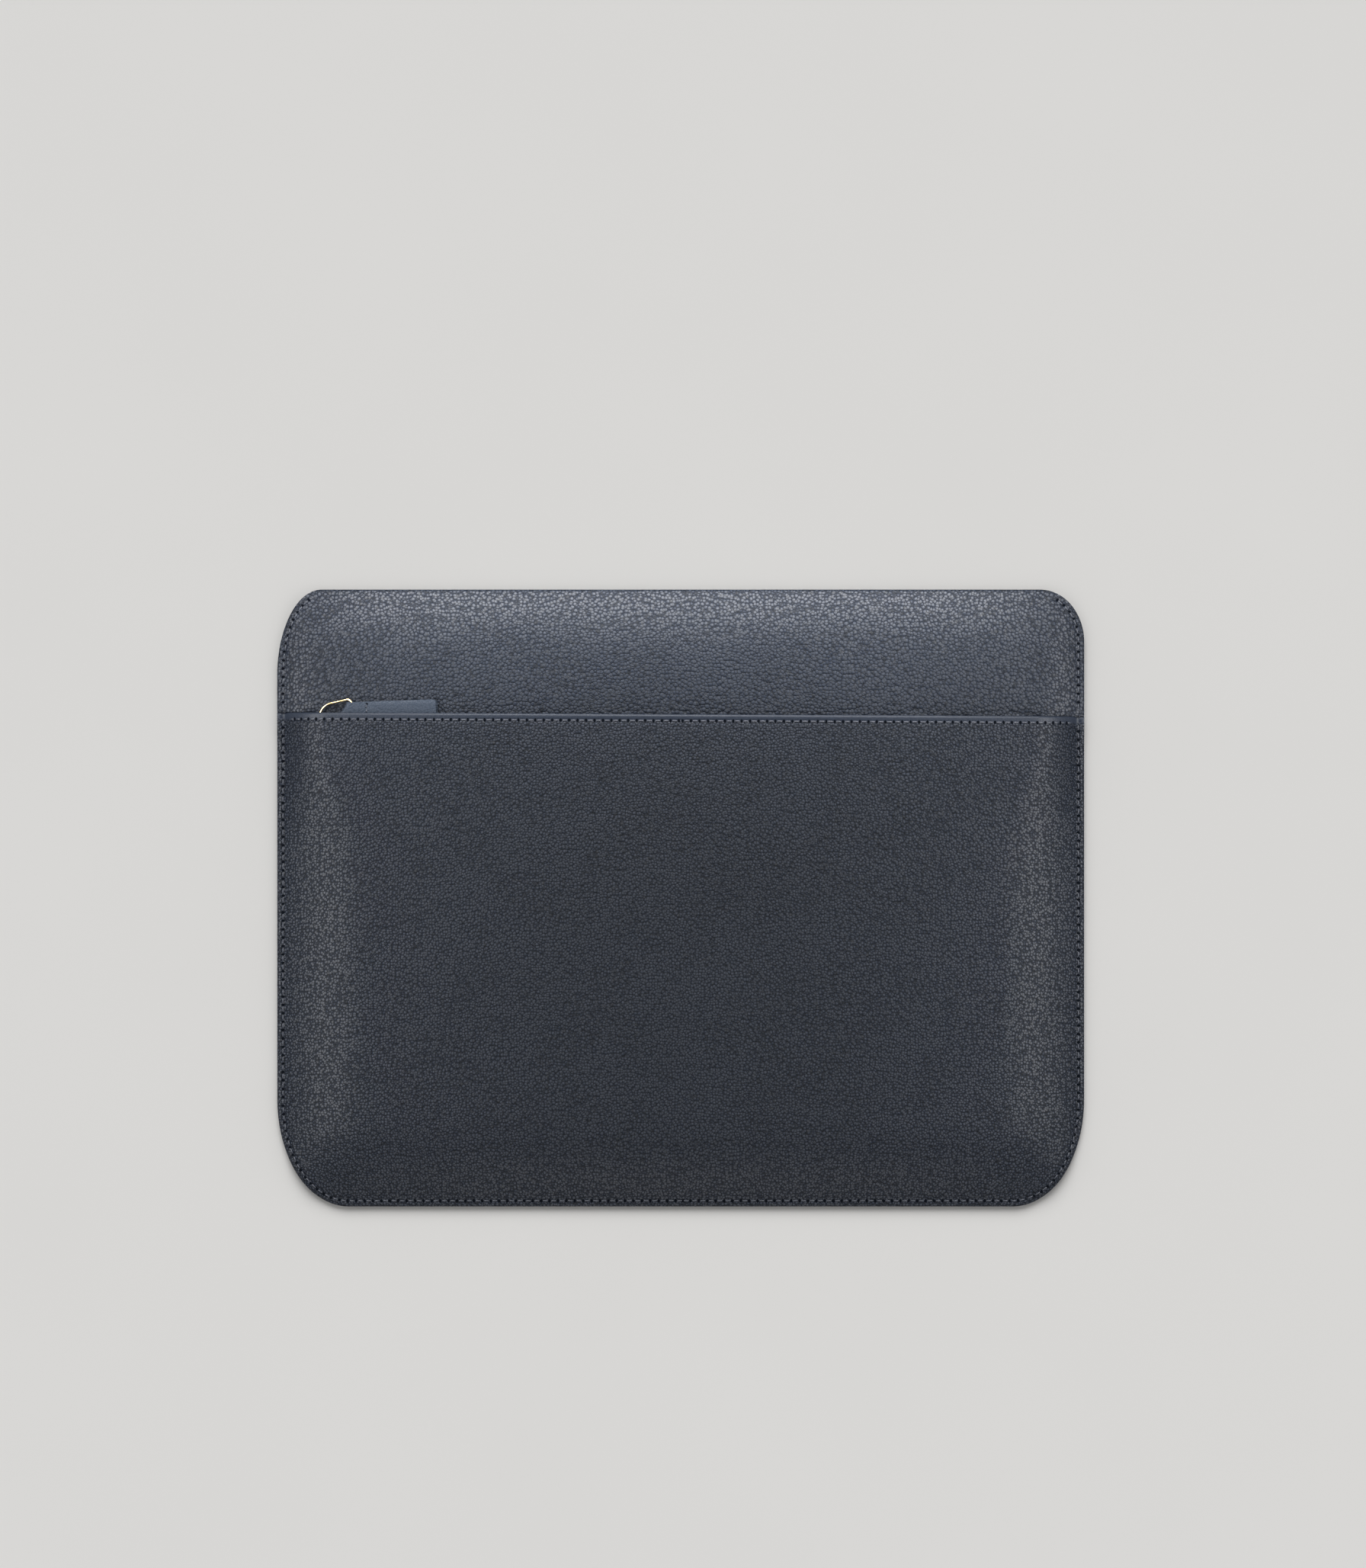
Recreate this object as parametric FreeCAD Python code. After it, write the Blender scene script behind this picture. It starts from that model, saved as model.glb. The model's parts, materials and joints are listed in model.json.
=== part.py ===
"""Slim zip-up leather sleeve for a tablet, lying on its back with its front up.

Millimetres. X runs along the width, Y from the bottom seam to the top fold, Z up out of the front.
The origin is the centre of the footprint, on the surface that the back rests on.
"""
import FreeCAD
import Part
import math
import os

# Outline in plan
sleeve_width = 340.0
sleeve_height = 260.0
bottom_corner_across = 30.0
bottom_corner_up = 45.0
top_left_corner_across = 19.0
top_left_corner_down = 36.0
top_right_corner_across = 19.0
top_right_corner_down = 22.0

# Sheet goods, thicknesses
leather = 1.2
foam = 1.0
lining = 0.3
tape_thickness = 0.4
facing_leather = 0.7
glue_gap = 0.1

# Sewn border and the swell of the panels inside it
seam_border = 3.5
side_rise = 18.5
bottom_rise = 30.0
hood_side_rise = 10.5
hood_top_rise = 26.0
lining_inset = 2.5
foam_inset = 16.0

# Mouth: distance of the lip below the top fold, and of the zip below the lip
lip_below_top = 52.7
zip_below_lip = 4.1
hood_butt_gap = 0.4
pocket_depth = 13.0
facing_side_margin = 32.0
facing_hem = 0.9
facing_foot = 4.0
tape_under_hood = 10.0

# Zip chain
tooth_pitch = 2.5
tooth_width = 1.3
tooth_depth = 1.7
tooth_thickness = 1.7
tooth_leg = 0.8
tooth_grip = 0.05
chain_left_margin = 13.0
chain_right_margin = 20.0
stop_length = 1.5
stop_gap = 0.3

# Slider, its crown and its place
slider_from_left = 18.8
slider_length = 8.4
slider_plate = 0.55
slider_wall = 0.45
slider_nose_taper = 1.1
wedge_width = 0.8
wedge_length = 2.6
running_gap = 0.3
slider_floor_gap = 0.4
crown_opening = 4.8
crown_wall = 0.6
crown_breadth = 1.4

# Pull ring and leather tab
ring_wire = 0.9
ring_length = 14.5
ring_breadth = 15.0
ring_crown_bend = 6.0
ring_bar_bend = 1.6
ring_tilt = 13.0
ring_gap = 0.2
tab_length = 40.8
tab_breadth = 12.0
tab_skin = 0.6
tab_tilt = 2.0
tab_eye_behind_bar = 5.2
tab_eye_ahead_of_bar = 2.4
tab_end_slant = 2.5
tab_end_round = 1.0
tab_lift = 0.3
lip_gap = 1.4

# Levels of the sewn rim, from the table up
back_lining_rim = leather + glue_gap
front_lining_rim = back_lining_rim + lining + glue_gap
front_leather_rim = front_lining_rim + lining + glue_gap
rim_top = front_leather_rim + leather
back_lining_swell = foam + glue_gap
floor_top = back_lining_rim + back_lining_swell + lining

# Levels at the mouth: slider, hood, pull and lip
channel_height = tooth_thickness + 2 * running_gap
slider_bottom = floor_top + slider_floor_gap
chain_level = slider_bottom + slider_plate + channel_height / 2
slider_top = chain_level + channel_height / 2 + slider_plate
hood_underside = chain_level + tape_thickness / 2 + glue_gap
hood_swell = hood_underside - front_leather_rim
hood_top = hood_underside + leather
tab_bottom = hood_top + tab_lift
ring_level = tab_bottom + tab_skin + ring_gap + ring_wire / 2
crown_ceiling = ring_level + ring_wire / 2 + ring_gap
tab_top = crown_ceiling + tab_skin
crown_top = crown_ceiling + crown_wall
facing_bottom = max(tab_top, crown_top) + lip_gap
front_underside = facing_bottom + facing_leather + glue_gap
front_swell = front_underside - front_leather_rim
front_lining_top_swell = front_swell - foam - glue_gap

# Places in plan
left_edge = -sleeve_width / 2
right_edge = sleeve_width / 2
bottom_edge = -sleeve_height / 2
top_edge = sleeve_height / 2
lip_y = top_edge - lip_below_top
zip_y = lip_y - zip_below_lip
row_inner = wedge_width / 2 + running_gap
row_outer = row_inner + tooth_depth
channel_half = row_outer + running_gap
slider_half = channel_half + slider_wall
hood_edge_y = zip_y + slider_half + running_gap
pocket_y = zip_y - pocket_depth + slider_half
fold_radius = rim_top / 2
fold_y = top_edge - fold_radius
slider_x = left_edge + slider_from_left
tongue_margin = seam_border + hood_side_rise
facing_half = sleeve_width / 2 - facing_side_margin

up = FreeCAD.Vector(0, 0, 1)
tall = 10 * (front_underside + leather)


def point(x, y, z=0.0):
    return FreeCAD.Vector(x, y, z)


def box(x0, x1, y0, y1, z0, z1):
    """Block between two opposite corners."""
    return Part.makeBox(x1 - x0, y1 - y0, z1 - z0, point(x0, y0, z0))


def corner_arc(centre_x, centre_y, across, along, start, end):
    """Quarter of an upright ellipse, from one angle to another in degrees, counter-clockwise."""
    if across >= along:
        ellipse = Part.Ellipse(point(centre_x + across, centre_y), point(centre_x, centre_y + along),
                               point(centre_x, centre_y))
        return Part.Arc(ellipse, math.radians(start), math.radians(end)).toShape()
    ellipse = Part.Ellipse(point(centre_x, centre_y + along), point(centre_x - across, centre_y),
                           point(centre_x, centre_y))
    return Part.Arc(ellipse, math.radians(start - 90), math.radians(end - 90)).toShape()


def outline_prism(inset, y_from, y_to):
    """Upright prism of the sleeve's outline, drawn in by inset and kept between two heights in plan."""
    x0 = left_edge + inset
    x1 = right_edge - inset
    y0 = bottom_edge + inset
    y1 = top_edge - inset
    low = (bottom_corner_across - inset, bottom_corner_up - inset)
    left = (top_left_corner_across - min(inset, top_left_corner_across / 2), top_left_corner_down - inset)
    right = (top_right_corner_across - min(inset, top_right_corner_across / 2),
             top_right_corner_down - min(inset, top_right_corner_down / 2))
    edges = [
        Part.LineSegment(point(x0 + low[0], y0), point(x1 - low[0], y0)).toShape(),
        corner_arc(x1 - low[0], y0 + low[1], low[0], low[1], 270, 360),
        Part.LineSegment(point(x1, y0 + low[1]), point(x1, y1 - right[1])).toShape(),
        corner_arc(x1 - right[0], y1 - right[1], right[0], right[1], 0, 90),
        Part.LineSegment(point(x1 - right[0], y1), point(x0 + left[0], y1)).toShape(),
        corner_arc(x0 + left[0], y1 - left[1], left[0], left[1], 90, 180),
        Part.LineSegment(point(x0, y1 - left[1]), point(x0, y0 + low[1])).toShape(),
        corner_arc(x0 + low[0], y0 + low[1], low[0], low[1], 180, 270),
    ]
    wire = Part.Wire(Part.__sortEdges__(edges))
    prism = Part.Face(wire).extrude(up * tall)
    return prism.common(box(left_edge - 1, right_edge + 1, y_from, y_to, -1, tall))


def slab(plan, z0, z1):
    """Part of a plan prism between two levels."""
    return plan.common(box(left_edge - 1, right_edge + 1, bottom_edge - 1, top_edge + 1, z0, z1))


def rise_profile(stops, heights):
    """Knots, repeats and poles of a smooth curve that is level at each stop, with the given heights."""
    last = len(stops) - 1
    repeats = [4] + [2] * (last - 1) + [4]
    full = [s for s, n in zip(stops, repeats) for _ in range(n)]
    poles = [heights[0]]
    for start, end in zip(heights[:-1], heights[1:]):
        poles += [start, end]
    poles.append(heights[-1])
    places = [sum(full[i + 1:i + 4]) / 3 for i in range(len(poles))]
    return stops, repeats, poles, places


across_front = rise_profile(
    [left_edge, left_edge + seam_border, left_edge + seam_border + side_rise,
     right_edge - seam_border - side_rise, right_edge - seam_border, right_edge],
    [0, 0, 1, 1, 0, 0])
along_front = rise_profile(
    [bottom_edge, bottom_edge + seam_border, bottom_edge + seam_border + bottom_rise, top_edge],
    [0, 0, 1, 1])
across_hood = rise_profile(
    [left_edge, left_edge + seam_border, left_edge + tongue_margin,
     right_edge - tongue_margin, right_edge - seam_border, right_edge],
    [0, 0, 1, 1, 0, 0])
along_hood = rise_profile(
    [bottom_edge, fold_y - hood_top_rise, fold_y, top_edge],
    [1, 1, 0, 0])
along_back = rise_profile(
    [bottom_edge, bottom_edge + seam_border, bottom_edge + seam_border + bottom_rise,
     fold_y - hood_top_rise, fold_y, top_edge],
    [0, 0, 1, 1, 0, 0])


def swell_face(across, along, rim, swell):
    """Smooth sheet at the rim's level that swells by a given height inside its border."""
    knots_x, repeats_x, poles_x, places_x = across
    knots_y, repeats_y, poles_y, places_y = along
    poles = [[point(x, y, rim + swell * a * b) for y, b in zip(places_y, poles_y)]
             for x, a in zip(places_x, poles_x)]
    surface = Part.BSplineSurface()
    surface.buildFromPolesMultsKnots(poles, repeats_x, repeats_y, knots_x, knots_y, False, False, 3, 3)
    return surface.toShape()


def sheet(across, along, rim, swell, thickness, plan):
    """Layer of even thickness on a swelling sheet, trimmed to a plan prism."""
    return swell_face(across, along, rim, swell).extrude(up * thickness).common(plan)


def back_panel():
    """One leather: the flat back, the turn over the top edge and the hood that comes down the front."""
    back = slab(outline_prism(0, bottom_edge, fold_y), 0, leather)
    ring = Part.makeCylinder(fold_radius, sleeve_width, point(left_edge, fold_y, fold_radius), point(1, 0, 0))
    bore = Part.makeCylinder(fold_radius - leather, sleeve_width, point(left_edge, fold_y, fold_radius),
                             point(1, 0, 0))
    fold = ring.cut(bore).common(outline_prism(0, fold_y, top_edge))
    plan = outline_prism(0, hood_edge_y, fold_y)
    border_y = lip_y + hood_butt_gap
    for x0, x1 in ((left_edge - 1, left_edge + tongue_margin), (right_edge - tongue_margin, right_edge + 1)):
        plan = plan.cut(box(x0, x1, hood_edge_y - 1, border_y, -1, tall))
    hood = sheet(across_hood, along_hood, front_leather_rim, hood_swell, leather, plan)
    return back.fuse([fold, hood]).removeSplitter()


def back_padding():
    """Flat foam under the back lining, thinned towards its edges."""
    plan = slab(outline_prism(foam_inset, bottom_edge, top_edge), leather + glue_gap, tall)
    top = swell_face(across_front, along_back, back_lining_rim - glue_gap, back_lining_swell)
    return top.extrude(up * -tall).common(plan)


def back_lining():
    plan = outline_prism(lining_inset, bottom_edge, fold_y - lining_inset)
    return sheet(across_front, along_back, back_lining_rim, back_lining_swell, lining, plan)


def hood_lining():
    plan = outline_prism(lining_inset, hood_edge_y + tape_under_hood + lining_inset, fold_y - lining_inset)
    rim = front_leather_rim - glue_gap - lining
    return sheet(across_hood, along_hood, rim, hood_swell, lining, plan)


def front_panel():
    """Lower front leather, from the bottom seam to the lip."""
    plan = outline_prism(0, bottom_edge, lip_y)
    return sheet(across_front, along_front, front_leather_rim, front_swell, leather, plan)


def front_padding():
    plan = outline_prism(foam_inset, bottom_edge, pocket_y - facing_foot)
    top = swell_face(across_front, along_front, front_leather_rim - glue_gap, front_swell)
    under = swell_face(across_front, along_front, front_lining_rim + lining + glue_gap, front_lining_top_swell)
    return top.extrude(up * -tall).common(under.extrude(up * tall)).common(plan)


def front_lining():
    plan = outline_prism(lining_inset, bottom_edge, pocket_y - facing_foot)
    return sheet(across_front, along_front, front_lining_rim, front_lining_top_swell, lining, plan)


def strip_along_x(profile, x0, x1):
    """Straight strip with a closed section given as points in Y and Z."""
    corners = [point(x0, y, z) for y, z in profile]
    return Part.Face(Part.makePolygon(corners + corners[:1])).extrude(point(x1 - x0, 0, 0))


def lip_facing():
    """Turned leather strip: under the lip, down behind the pull's pocket and out over the lower tape."""
    lip_under = front_underside - glue_gap
    foot_top = chain_level + tape_thickness / 2 + glue_gap + facing_leather
    hem_y = lip_y - facing_hem
    foot_y = pocket_y - facing_foot
    profile = [
        (hem_y, lip_under), (pocket_y - facing_leather, lip_under),
        (pocket_y - facing_leather, foot_top), (foot_y, foot_top),
        (foot_y, foot_top - facing_leather), (pocket_y, foot_top - facing_leather),
        (pocket_y, facing_bottom), (hem_y, facing_bottom),
    ]
    return strip_along_x(profile, -facing_half, facing_half)


chain_left = left_edge + chain_left_margin
chain_right = right_edge - chain_right_margin
teeth_left = slider_x - slider_length / 2
teeth_right = chain_right - stop_length - stop_gap
tape_edge = row_outer - tooth_leg
# The lower tape is held down beside the parked pull and lifts with the front beyond the tab's end
lift_start = slider_x + ring_length + tab_length


def tape(side, x0, x1, far_edge):
    """Woven tape on one side of the zip, from inside its teeth to its sewn edge."""
    near = zip_y + side * (tape_edge + tooth_grip)
    y0, y1 = sorted((near, far_edge))
    return box(x0, x1, y0, y1, chain_level - tape_thickness / 2, chain_level + tape_thickness / 2)


def tooth_profile(side):
    """Section of one tooth: a head towards the other row, and two legs that grip the tape's edge."""
    half = tooth_thickness / 2
    slot = tape_thickness / 2 + tooth_grip
    rows = [(row_inner, -half / 2), (row_inner, half / 2), (row_inner + half / 2, half), (row_outer, half),
            (row_outer, slot), (tape_edge, slot), (tape_edge, -slot), (row_outer, -slot),
            (row_outer, -half), (row_inner + half / 2, -half)]
    return [(zip_y + side * y, chain_level + z) for y, z in rows]


def tooth_row(side, x0, x1, offset):
    count = int((x1 - x0 - offset - tooth_width) // tooth_pitch) + 1
    first = strip_along_x(tooth_profile(side), x0 + offset, x0 + offset + tooth_width)
    teeth = []
    for number in range(count):
        tooth = first.copy()
        tooth.translate(point(number * tooth_pitch, 0, 0))
        teeth.append(tooth)
    return Part.makeCompound(teeth)


def tape_clamp(side, x0):
    """Small metal stop folded over a tape's edge, past the last tooth."""
    return strip_along_x(tooth_profile(side), x0, x0 + stop_length)


def bottom_stop():
    """Metal staple across both rows, at the end where the slider parks."""
    x0 = teeth_left - stop_gap - stop_length
    bridge_half = tooth_thickness / 4
    bridge = box(x0, x0 + stop_length, zip_y - row_inner, zip_y + row_inner,
                 chain_level - bridge_half, chain_level + bridge_half)
    return bridge.fuse([tape_clamp(1, x0), tape_clamp(-1, x0)]).removeSplitter()


def slider_outline(half_width, length):
    """Plan of the slider: straight flanks, and a nose that narrows to a rounded end."""
    x0 = -length / 2
    x1 = length / 2
    nose = half_width - slider_nose_taper
    corners = [point(x0, -half_width), point(x1 - nose, -half_width), point(x1, -nose), point(x1, nose),
               point(x1 - nose, half_width), point(x0, half_width)]
    return Part.Face(Part.makePolygon(corners + corners[:1]))


def slider_body():
    """Two plates with side walls that leave a slot for each tape, joined by the wedge between the rows."""
    plan = slider_outline(slider_half, slider_length)
    block = plan.extrude(up * (slider_top - slider_bottom))
    block.translate(point(slider_x, zip_y, slider_bottom))
    reach = slider_length
    channel = box(slider_x - reach, slider_x + reach, zip_y - channel_half, zip_y + channel_half,
                  slider_bottom + slider_plate, slider_top - slider_plate)
    slot = tape_thickness / 2 + running_gap
    slots = box(slider_x - reach, slider_x + reach, zip_y - reach, zip_y + reach,
                chain_level - slot, chain_level + slot)
    wedge_x = slider_x + slider_length / 2 - wedge_length
    wedge = box(wedge_x, wedge_x + wedge_length, zip_y - wedge_width / 2, zip_y + wedge_width / 2,
                slider_bottom, slider_top)
    body = block.cut(channel).cut(slots).fuse(wedge).removeSplitter()
    rims = [edge for edge in body.Edges
            if abs(edge.CenterOfMass.z - slider_top) < 1e-6 and edge.Length > slider_wall]
    return body.makeFillet(slider_plate / 3, rims)


def slider_crown():
    """Bridge along the slider's top plate, with the opening that the ring's wire runs through."""
    half_open = crown_opening / 2
    half_out = half_open + crown_wall
    outer = box(-half_out, half_out, -crown_breadth / 2, crown_breadth / 2, slider_top, crown_top)
    inner = box(-half_open, half_open, -crown_breadth, crown_breadth, slider_top, crown_ceiling)
    tops = [edge for edge in outer.Edges
            if abs(edge.CenterOfMass.z - crown_top) < 1e-6 and abs(edge.CenterOfMass.x) > half_open]
    crown = outer.makeFillet(crown_wall * 0.8, tops).cut(inner)
    crown.translate(point(slider_x, zip_y, 0))
    return crown


def turned(shape, angle, x, y, z):
    """Piece drawn about its own pivot, turned in plan and carried to its place."""
    shape.rotate(point(0, 0), up, angle)
    shape.translate(point(x, y, z))
    return shape


def pull_ring():
    """D-ring of round wire: a wide bend in the crown and a straight bar for the tab."""
    half = ring_breadth / 2
    soft = ring_crown_bend
    hard = ring_bar_bend
    diagonal = math.sqrt(0.5)
    edges = []
    for side in (-1, 1):
        edges.append(Part.Arc(
            point(0, side * (half - soft)),
            point(soft - soft * diagonal, side * (half - soft + soft * diagonal)),
            point(soft, side * half)).toShape())
        edges.append(Part.LineSegment(point(soft, side * half), point(ring_length - hard, side * half)).toShape())
        edges.append(Part.Arc(
            point(ring_length - hard, side * half),
            point(ring_length - hard + hard * diagonal, side * (half - hard + hard * diagonal)),
            point(ring_length, side * (half - hard))).toShape())
    edges.append(Part.LineSegment(point(0, soft - half), point(0, half - soft)).toShape())
    edges.append(Part.LineSegment(point(ring_length, hard - half), point(ring_length, half - hard)).toShape())
    path = Part.Wire(Part.__sortEdges__(edges))
    start = path.Edges[0].valueAt(path.Edges[0].FirstParameter)
    heading = path.Edges[0].tangentAt(path.Edges[0].FirstParameter)
    section = Part.Wire([Part.makeCircle(ring_wire / 2, start, heading)])
    ring = path.makePipeShell([section], True, False)
    return turned(ring, ring_tilt, slider_x, zip_y, ring_level)


def tab_pivot():
    """Middle of the ring's bar in plan."""
    lean = math.radians(ring_tilt)
    return slider_x + ring_length * math.cos(lean), zip_y + ring_length * math.sin(lean)


def pull_tab():
    """Leather strip folded round the ring's bar: a slanted fold with an eye, then two plies sewn flat."""
    half = tab_breadth / 2
    fold_x = -tab_eye_behind_bar - tab_skin
    end_x = fold_x + tab_length
    corners = [point(fold_x, -half), point(end_x, -half), point(end_x, half),
               point(fold_x + tab_end_slant, half)]
    strip = Part.Face(Part.makePolygon(corners + corners[:1])).extrude(up * (tab_top - tab_bottom))
    uprights = [edge for edge in strip.Edges if abs(edge.Length - (tab_top - tab_bottom)) < 1e-6]
    strip = strip.makeFillet(tab_end_round, uprights)
    eye_x = fold_x + tab_skin + tab_end_slant / 2
    eye_corners = [point(eye_x - tab_end_slant, -tab_breadth), point(tab_eye_ahead_of_bar, -tab_breadth),
                   point(tab_eye_ahead_of_bar, tab_breadth), point(eye_x + tab_end_slant, tab_breadth)]
    eye_height = crown_ceiling - tab_bottom - tab_skin
    eye = Part.Face(Part.makePolygon(eye_corners + eye_corners[:1])).extrude(up * eye_height)
    eye.translate(up * tab_skin)
    pivot_x, pivot_y = tab_pivot()
    return turned(strip.cut(eye), tab_tilt, pivot_x, pivot_y, tab_bottom)


pieces = {
    "back_panel": back_panel(),
    "back_padding": back_padding(),
    "back_lining": back_lining(),
    "hood_lining": hood_lining(),
    "front_panel": front_panel(),
    "front_padding": front_padding(),
    "front_lining": front_lining(),
    "lip_facing": lip_facing(),
    "zip_tape_upper": tape(1, chain_left, chain_right, hood_edge_y + tape_under_hood),
    "zip_tape_lower_start": tape(-1, chain_left, lift_start, pocket_y + running_gap),
    "zip_tape_lower": tape(-1, lift_start + running_gap, chain_right, pocket_y - facing_foot),
    "zip_teeth_upper": tooth_row(1, teeth_left, teeth_right, 0),
    "zip_teeth_lower_start": tooth_row(-1, teeth_left, lift_start, tooth_pitch / 2),
    "zip_teeth_lower": tooth_row(-1, lift_start + running_gap, teeth_right, 0),
    "zip_bottom_stop": bottom_stop(),
    "zip_top_stop_upper": tape_clamp(1, chain_right - stop_length),
    "zip_top_stop_lower": tape_clamp(-1, chain_right - stop_length),
    "slider_body": slider_body(),
    "slider_crown": slider_crown(),
    "pull_ring": pull_ring(),
    "pull_tab": pull_tab(),
}

os.makedirs("parts", exist_ok=True)
for name, shape in pieces.items():
    shape.exportStep("parts/" + name + ".step")
    solids = len(shape.Solids)
    print(name, "solids", solids, "valid", shape.isValid(), "volume", round(shape.Volume, 2))
print("levels of chain, hood, tab and lip:", chain_level, hood_top, tab_top, front_underside + leather)
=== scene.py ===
import bpy
import json
import math
from mathutils import Matrix, Vector, noise

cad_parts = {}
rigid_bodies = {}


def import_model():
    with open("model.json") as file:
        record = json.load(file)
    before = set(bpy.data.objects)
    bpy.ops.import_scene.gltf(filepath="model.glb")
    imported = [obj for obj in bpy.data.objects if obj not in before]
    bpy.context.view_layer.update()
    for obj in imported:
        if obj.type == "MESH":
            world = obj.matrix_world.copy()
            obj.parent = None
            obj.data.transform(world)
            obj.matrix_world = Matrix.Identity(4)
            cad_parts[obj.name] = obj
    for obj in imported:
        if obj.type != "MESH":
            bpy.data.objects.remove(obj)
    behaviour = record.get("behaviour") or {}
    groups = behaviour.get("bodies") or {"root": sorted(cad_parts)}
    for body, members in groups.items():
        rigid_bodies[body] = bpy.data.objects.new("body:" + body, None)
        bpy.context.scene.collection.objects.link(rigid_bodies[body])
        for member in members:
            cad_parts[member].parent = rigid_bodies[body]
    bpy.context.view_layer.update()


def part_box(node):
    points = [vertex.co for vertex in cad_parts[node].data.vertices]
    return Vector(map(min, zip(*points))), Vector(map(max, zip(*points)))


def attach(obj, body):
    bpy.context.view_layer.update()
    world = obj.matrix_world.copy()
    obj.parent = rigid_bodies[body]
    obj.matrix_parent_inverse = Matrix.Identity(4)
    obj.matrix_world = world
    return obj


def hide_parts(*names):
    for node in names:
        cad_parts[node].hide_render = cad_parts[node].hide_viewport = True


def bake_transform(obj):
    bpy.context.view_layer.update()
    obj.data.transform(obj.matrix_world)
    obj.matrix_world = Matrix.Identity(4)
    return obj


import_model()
scene = bpy.context.scene

# Studio
# A pale seamless table top, a dome with a dark slot overhead, a wide soft lamp beyond the top edge, and a low
# strip lamp on each of the four sides, flagged off the table. The camera looks straight down.
photo_width = 1792
photo_height = 2057
metres_per_pixel = 0.3202e-3
sleeve_centre_pixel = (893.0, 1178.5)
camera_height = 1.8
sleeve_level = 0.008
table_size = 8.0
table_gap = 0.0002
dome_level = 0.31
dome_sides = 0.36
dome_slot = 0.285
dome_tilt = 0.3


class Value:
    """One shader socket in arithmetic: each operator adds a Math node to the material it belongs to."""

    def __init__(self, finish, socket):
        self.finish = finish
        self.socket = socket

    def _math(self, operation, first, second):
        return self.finish.node("ShaderNodeMath", {"operation": operation}, {0: first, 1: second})[0]

    def __add__(self, other):
        return self._math("ADD", self, other)

    def __radd__(self, other):
        return self._math("ADD", other, self)

    def __sub__(self, other):
        return self._math("SUBTRACT", self, other)

    def __rsub__(self, other):
        return self._math("SUBTRACT", other, self)

    def __mul__(self, other):
        return self._math("MULTIPLY", self, other)

    def __rmul__(self, other):
        return self._math("MULTIPLY", other, self)


class Outputs:
    """Outputs of one node, by number or by name."""

    def __init__(self, finish, made):
        self.finish = finish
        self.made = made

    def __getitem__(self, key):
        return Value(self.finish, self.made.outputs[key])


class Nodes:
    """Node tree under construction, with a single method that adds any node."""

    def __init__(self, tree):
        self.tree = tree

    def node(self, kind, settings, sockets):
        made = self.tree.nodes.new(kind)
        for setting, value in settings.items():
            setattr(made, setting, value)
        self.feed(made, sockets)
        return Outputs(self, made)

    def feed(self, made, sockets):
        for key, value in sockets.items():
            if isinstance(value, Value):
                self.tree.links.new(value.socket, made.inputs[key])
            else:
                made.inputs[key].default_value = value

    def ramp(self, value, low, high):
        """Smooth step of a value, from 0 at a low limit to 1 at a high one."""
        limits = {"Value": value, "From Min": low, "From Max": high}
        return self.node("ShaderNodeMapRange", {"interpolation_type": "SMOOTHSTEP"}, limits)["Result"]


class Finish(Nodes):
    """One material, with its shader and the helpers that finishes share."""

    def __init__(self, name):
        self.material = bpy.data.materials.new(name)
        self.material.use_nodes = True
        super().__init__(self.material.node_tree)
        self.tree.nodes.clear()
        self.shader = self.tree.nodes.new("ShaderNodeBsdfPrincipled")
        output = self.tree.nodes.new("ShaderNodeOutputMaterial")
        self.tree.links.new(self.shader.outputs["BSDF"], output.inputs["Surface"])
        self.place = self.node("ShaderNodeTexCoord", {}, {})["Object"]

    def surface(self, sockets):
        self.feed(self.shader, sockets)
        return self.material

    def noise(self, scale, detail=2.0):
        return self.node("ShaderNodeTexNoise", {}, {"Vector": self.place, "Scale": scale, "Detail": detail})

    def tint(self, factor, first, second):
        """Colour between two colours."""
        return self.node("ShaderNodeMix", {"data_type": "RGBA"}, {0: factor, 6: first, 7: second})[2]

    def bump(self, height, depth):
        sockets = {"Height": height, "Distance": depth, "Strength": 1.0}
        return self.node("ShaderNodeBump", {}, sockets)["Normal"]


def colour(red, green, blue):
    """Linear colour from the 0 to 255 values of a screen."""
    def linear(level):
        share = level / 255
        return share / 12.92 if share <= 0.04045 else ((share + 0.055) / 1.055) ** 2.4
    return linear(red), linear(green), linear(blue), 1.0


def deselect():
    bpy.ops.object.select_all(action="DESELECT")


def paper_finish():
    finish = Finish("pale_paper")
    mottle = finish.noise(9.0)["Fac"]
    tone = finish.tint(mottle, colour(214, 213, 211), colour(217, 216, 214))
    return finish.surface({"Base Color": tone, "Roughness": 0.9, "Specular IOR Level": 0.1})


deselect()
bpy.ops.mesh.primitive_plane_add(size=table_size, location=(0, 0, -table_gap))
floor = bpy.context.object
floor.name = "table_top"
floor.data.materials.append(paper_finish())


def soft_sun(name, azimuth, elevation, strength, spread):
    """Wide lamp far away: azimuth from +X towards +Y, and elevation above the table, in degrees."""
    lamp = bpy.data.lights.new(name, "SUN")
    lamp.energy = strength
    lamp.angle = math.radians(spread)
    holder = bpy.data.objects.new(name, lamp)
    bpy.context.collection.objects.link(holder)
    turn = math.radians(azimuth)
    rise = math.radians(elevation)
    towards = Vector((math.cos(turn) * math.cos(rise), math.sin(turn) * math.cos(rise), math.sin(rise)))
    holder.rotation_euler = towards.to_track_quat("Z", "Y").to_euler()


flagged_off = bpy.data.collections.new("flagged_off")
flagged_off.objects.link(floor)
flagged_off.collection_objects[0].light_linking.link_state = "EXCLUDE"


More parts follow.
